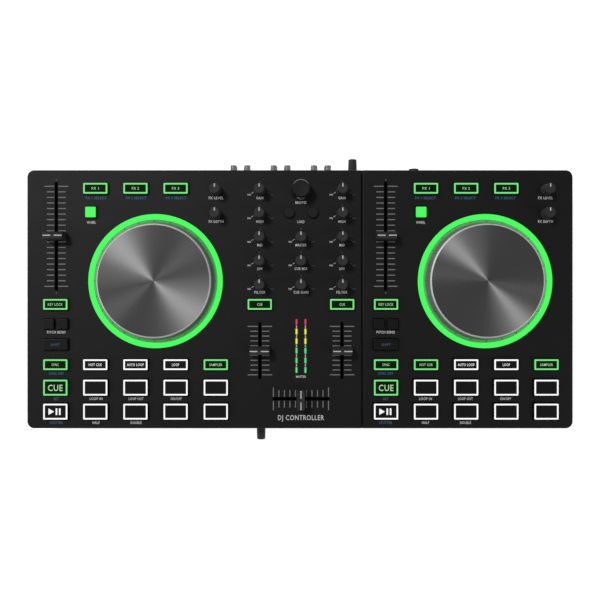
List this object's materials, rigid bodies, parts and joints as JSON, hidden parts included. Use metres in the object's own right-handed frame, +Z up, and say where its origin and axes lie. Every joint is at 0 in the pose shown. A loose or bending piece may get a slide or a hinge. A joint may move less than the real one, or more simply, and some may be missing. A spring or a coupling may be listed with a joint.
{
  "type": "dj controller",
  "caption": "Low rectangular two-deck DJ controller with lit jog wheels, a central mixer, pitch and channel faders, knobs, pads and lit keys.",
  "frame": {"origin": "on the surface that the feet stand on, under the middle of the case", "axes": "+X to the player's right, along the case; +Y from the player to the back; +Z up"},
  "size_m": [0.546, 0.2874, 0.058],
  "materials": {
    "panel_black": "fine matte moulded plastic, near black",
    "tray_black": "matte moulded plastic, black",
    "lit_green": "translucent light guide, lit green",
    "board_green": "glass-epoxy board with solder mask",
    "switch_black": "moulded switch body",
    "control_metal": "plated steel",
    "nickel": "nickel plated brass",
    "jack_black": "black moulded socket",
    "meter_lens": "clear light pipes over coloured lamps",
    "foot_rubber": "black rubber",
    "screw_black": "blackened steel screws",
    "wheel_black": "smoked gloss plastic, reflecting the ring",
    "spun_metal": "spun aluminium with radial highlight and bright rim",
    "knob_black": "soft-touch black with a white pointer line",
    "cap_black": "satin black with a white centre line",
    "key_clear": "translucent key cap, dark face with lit edge"
  },
  "bodies": {
    "case": {"left_top_panel": "panel_black", "right_top_panel": "panel_black", "bottom_case": "tray_black", "ring_lights": "lit_green", "circuit_boards": "board_green", "tact_switches": "switch_black", "slide_pots": "control_metal", "rotary_pots": "control_metal", "jog_bearings": "control_metal", "rca_sockets": "nickel", "jack_sockets": "jack_black", "usb_socket": "nickel", "level_meter": "meter_lens", "feet": "foot_rubber", "case_screws": "screw_black"},
    "left_jog": {"left_jog_wheel": "wheel_black", "left_jog_plate": "spun_metal"},
    "right_jog": {"right_jog_wheel": "wheel_black", "right_jog_plate": "spun_metal"},
    "left_pitch_fader": {"left_pitch_fader": "cap_black"},
    "right_pitch_fader": {"right_pitch_fader": "cap_black"},
    "left_line_fader": {"left_line_fader": "cap_black"},
    "right_line_fader": {"right_line_fader": "cap_black"},
    "crossfader": {"crossfader": "cap_black"},
    "browse_knob": {"browse_knob": "knob_black"},
    "phones_knob": {"phones_knob": "knob_black"},
    "mic_knob": {"mic_knob": "knob_black"},
    "left_fx_keys": {"left_fx_keys": "key_clear"},
    "left_function_keys": {"left_function_keys": "key_clear"},
    "left_sync_key": {"left_sync_key": "key_clear"},
    "left_cue_key": {"left_cue_key": "key_clear"},
    "left_play_key": {"left_play_key": "key_clear"},
    "left_mode_keys": {"left_mode_keys": "key_clear"},
    "left_pads": {"left_pads": "key_clear"},
    "channel_cue_keys": {"channel_cue_keys": "key_clear"},
    "load_keys": {"load_keys": "key_clear"},
    "left_gain_knob": {"left_gain_knob": "knob_black"},
    "left_fx_level_knob": {"left_fx_level_knob": "knob_black"},
    "master_knob": {"master_knob": "knob_black"},
    "right_fx_keys": {"right_fx_keys": "key_clear"},
    "right_function_keys": {"right_function_keys": "key_clear"},
    "right_sync_key": {"right_sync_key": "key_clear"},
    "right_cue_key": {"right_cue_key": "key_clear"},
    "right_play_key": {"right_play_key": "key_clear"},
    "right_mode_keys": {"right_mode_keys": "key_clear"},
    "right_pads": {"right_pads": "key_clear"},
    "left_fx_amount_knob": {"left_fx_amount_knob": "knob_black"},
    "right_gain_knob": {"right_gain_knob": "knob_black"},
    "left_high_knob": {"left_high_knob": "knob_black"},
    "right_high_knob": {"right_high_knob": "knob_black"},
    "left_mid_knob": {"left_mid_knob": "knob_black"},
    "right_mid_knob": {"right_mid_knob": "knob_black"},
    "left_low_knob": {"left_low_knob": "knob_black"},
    "right_low_knob": {"right_low_knob": "knob_black"},
    "left_filter_knob": {"left_filter_knob": "knob_black"},
    "right_filter_knob": {"right_filter_knob": "knob_black"},
    "cue_mix_knob": {"cue_mix_knob": "knob_black"},
    "cue_gain_knob": {"cue_gain_knob": "knob_black"},
    "right_fx_level_knob": {"right_fx_level_knob": "knob_black"},
    "right_fx_amount_knob": {"right_fx_amount_knob": "knob_black"}
  },
  "joints": [
    {"name": "left_jog_spin", "type": "hinge", "parent": "case", "child": "left_jog", "pos_m": [-0.1444, 0.0181, 0.044], "axis": [0, 0, 1], "continuous": true},
    {"name": "right_jog_spin", "type": "hinge", "parent": "case", "child": "right_jog", "pos_m": [0.185, 0.0181, 0.044], "axis": [0, 0, 1], "continuous": true},
    {"name": "left_pitch_fader_slide", "type": "slide", "parent": "case", "child": "left_pitch_fader", "axis": [0, 1, 0], "range_m": [-0.05, 0.05]},
    {"name": "right_pitch_fader_slide", "type": "slide", "parent": "case", "child": "right_pitch_fader", "axis": [0, 1, 0], "range_m": [-0.05, 0.05]},
    {"name": "left_line_fader_slide", "type": "slide", "parent": "case", "child": "left_line_fader", "axis": [0, 1, 0], "range_m": [-0.0242, 0.0242]},
    {"name": "right_line_fader_slide", "type": "slide", "parent": "case", "child": "right_line_fader", "axis": [0, 1, 0], "range_m": [-0.0242, 0.0242]},
    {"name": "crossfader_slide", "type": "slide", "parent": "case", "child": "crossfader", "axis": [1, 0, 0], "range_m": [-0.0242, 0.0242]},
    {"name": "browse_knob_turn", "type": "hinge", "parent": "case", "child": "browse_knob", "pos_m": [0.00095, 0.1089, 0.044], "axis": [0, 0, 1], "continuous": true},
    {"name": "phones_knob_turn", "type": "hinge", "parent": "case", "child": "phones_knob", "pos_m": [-0.04, -0.12925, 0.024], "axis": [0, -1, 0], "range_deg": [-150, 150]},
    {"name": "mic_knob_turn", "type": "hinge", "parent": "case", "child": "mic_knob", "pos_m": [0.054, 0.12925, 0.024], "axis": [0, 1, 0], "range_deg": [-150, 150]},
    {"name": "left_fx_keys_press", "type": "slide", "parent": "case", "child": "left_fx_keys", "axis": [0, 0, -1], "range_m": [0, 0.001], "stiffness_N_per_m": 1200, "springref_m": -0.001},
    {"name": "left_function_keys_press", "type": "slide", "parent": "case", "child": "left_function_keys", "axis": [0, 0, -1], "range_m": [0, 0.001], "stiffness_N_per_m": 1200, "springref_m": -0.001},
    {"name": "left_sync_key_press", "type": "slide", "parent": "case", "child": "left_sync_key", "axis": [0, 0, -1], "range_m": [0, 0.001], "stiffness_N_per_m": 1200, "springref_m": -0.001},
    {"name": "left_cue_key_press", "type": "slide", "parent": "case", "child": "left_cue_key", "axis": [0, 0, -1], "range_m": [0, 0.001], "stiffness_N_per_m": 1200, "springref_m": -0.001},
    {"name": "left_play_key_press", "type": "slide", "parent": "case", "child": "left_play_key", "axis": [0, 0, -1], "range_m": [0, 0.001], "stiffness_N_per_m": 1200, "springref_m": -0.001},
    {"name": "left_mode_keys_press", "type": "slide", "parent": "case", "child": "left_mode_keys", "axis": [0, 0, -1], "range_m": [0, 0.001], "stiffness_N_per_m": 1200, "springref_m": -0.001},
    {"name": "left_pads_press", "type": "slide", "parent": "case", "child": "left_pads", "axis": [0, 0, -1], "range_m": [0, 0.001], "stiffness_N_per_m": 1200, "springref_m": -0.001},
    {"name": "channel_cue_keys_press", "type": "slide", "parent": "case", "child": "channel_cue_keys", "axis": [0, 0, -1], "range_m": [0, 0.001], "stiffness_N_per_m": 1200, "springref_m": -0.001},
    {"name": "load_keys_press", "type": "slide", "parent": "case", "child": "load_keys", "axis": [0, 0, -1], "range_m": [0, 0.001], "stiffness_N_per_m": 1200, "springref_m": -0.001},
    {"name": "left_gain_knob_turn", "type": "hinge", "parent": "case", "child": "left_gain_knob", "pos_m": [-0.0401, 0.1089, 0.044], "axis": [0, 0, 1], "range_deg": [-150, 150]},
    {"name": "left_fx_level_knob_turn", "type": "hinge", "parent": "case", "child": "left_fx_level_knob", "pos_m": [-0.0839, 0.1089, 0.044], "axis": [0, 0, 1], "range_deg": [-150, 150]},
    {"name": "master_knob_turn", "type": "hinge", "parent": "case", "child": "master_knob", "pos_m": [0.00095, 0.06175, 0.044], "axis": [0, 0, 1], "range_deg": [-150, 150]},
    {"name": "right_fx_keys_press", "type": "slide", "parent": "case", "child": "right_fx_keys", "axis": [0, 0, -1], "range_m": [0, 0.001], "stiffness_N_per_m": 1200, "springref_m": -0.001},
    {"name": "right_function_keys_press", "type": "slide", "parent": "case", "child": "right_function_keys", "axis": [0, 0, -1], "range_m": [0, 0.001], "stiffness_N_per_m": 1200, "springref_m": -0.001},
    {"name": "right_sync_key_press", "type": "slide", "parent": "case", "child": "right_sync_key", "axis": [0, 0, -1], "range_m": [0, 0.001], "stiffness_N_per_m": 1200, "springref_m": -0.001},
    {"name": "right_cue_key_press", "type": "slide", "parent": "case", "child": "right_cue_key", "axis": [0, 0, -1], "range_m": [0, 0.001], "stiffness_N_per_m": 1200, "springref_m": -0.001},
    {"name": "right_play_key_press", "type": "slide", "parent": "case", "child": "right_play_key", "axis": [0, 0, -1], "range_m": [0, 0.001], "stiffness_N_per_m": 1200, "springref_m": -0.001},
    {"name": "right_mode_keys_press", "type": "slide", "parent": "case", "child": "right_mode_keys", "axis": [0, 0, -1], "range_m": [0, 0.001], "stiffness_N_per_m": 1200, "springref_m": -0.001},
    {"name": "right_pads_press", "type": "slide", "parent": "case", "child": "right_pads", "axis": [0, 0, -1], "range_m": [0, 0.001], "stiffness_N_per_m": 1200, "springref_m": -0.001},
    {"name": "left_fx_amount_knob_turn", "type": "hinge", "parent": "case", "child": "left_fx_amount_knob", "pos_m": [-0.0839, 0.08532, 0.044], "axis": [0, 0, 1], "range_deg": [-150, 150]},
    {"name": "right_gain_knob_turn", "type": "hinge", "parent": "case", "child": "right_gain_knob", "pos_m": [0.042, 0.1089, 0.044], "axis": [0, 0, 1], "range_deg": [-150, 150]},
    {"name": "left_high_knob_turn", "type": "hinge", "parent": "case", "child": "left_high_knob", "pos_m": [-0.0401, 0.08532, 0.044], "axis": [0, 0, 1], "range_deg": [-150, 150]},
    {"name": "right_high_knob_turn", "type": "hinge", "parent": "case", "child": "right_high_knob", "pos_m": [0.042, 0.08532, 0.044], "axis": [0, 0, 1], "range_deg": [-150, 150]},
    {"name": "left_mid_knob_turn", "type": "hinge", "parent": "case", "child": "left_mid_knob", "pos_m": [-0.0401, 0.06175, 0.044], "axis": [0, 0, 1], "range_deg": [-150, 150]},
    {"name": "right_mid_knob_turn", "type": "hinge", "parent": "case", "child": "right_mid_knob", "pos_m": [0.042, 0.06175, 0.044], "axis": [0, 0, 1], "range_deg": [-150, 150]},
    {"name": "left_low_knob_turn", "type": "hinge", "parent": "case", "child": "left_low_knob", "pos_m": [-0.0401, 0.03818, 0.044], "axis": [0, 0, 1], "range_deg": [-150, 150]},
    {"name": "right_low_knob_turn", "type": "hinge", "parent": "case", "child": "right_low_knob", "pos_m": [0.042, 0.03818, 0.044], "axis": [0, 0, 1], "range_deg": [-150, 150]},
    {"name": "left_filter_knob_turn", "type": "hinge", "parent": "case", "child": "left_filter_knob", "pos_m": [-0.0401, 0.0146, 0.044], "axis": [0, 0, 1], "range_deg": [-150, 150]},
    {"name": "right_filter_knob_turn", "type": "hinge", "parent": "case", "child": "right_filter_knob", "pos_m": [0.042, 0.0146, 0.044], "axis": [0, 0, 1], "range_deg": [-150, 150]},
    {"name": "cue_mix_knob_turn", "type": "hinge", "parent": "case", "child": "cue_mix_knob", "pos_m": [0.00095, 0.03818, 0.044], "axis": [0, 0, 1], "range_deg": [-150, 150]},
    {"name": "cue_gain_knob_turn", "type": "hinge", "parent": "case", "child": "cue_gain_knob", "pos_m": [0.00095, 0.0146, 0.044], "axis": [0, 0, 1], "range_deg": [-150, 150]},
    {"name": "right_fx_level_knob_turn", "type": "hinge", "parent": "case", "child": "right_fx_level_knob", "pos_m": [0.2455, 0.1089, 0.044], "axis": [0, 0, 1], "range_deg": [-150, 150]},
    {"name": "right_fx_amount_knob_turn", "type": "hinge", "parent": "case", "child": "right_fx_amount_knob", "pos_m": [0.2455, 0.08532, 0.044], "axis": [0, 0, 1], "range_deg": [-150, 150]}
  ]
}
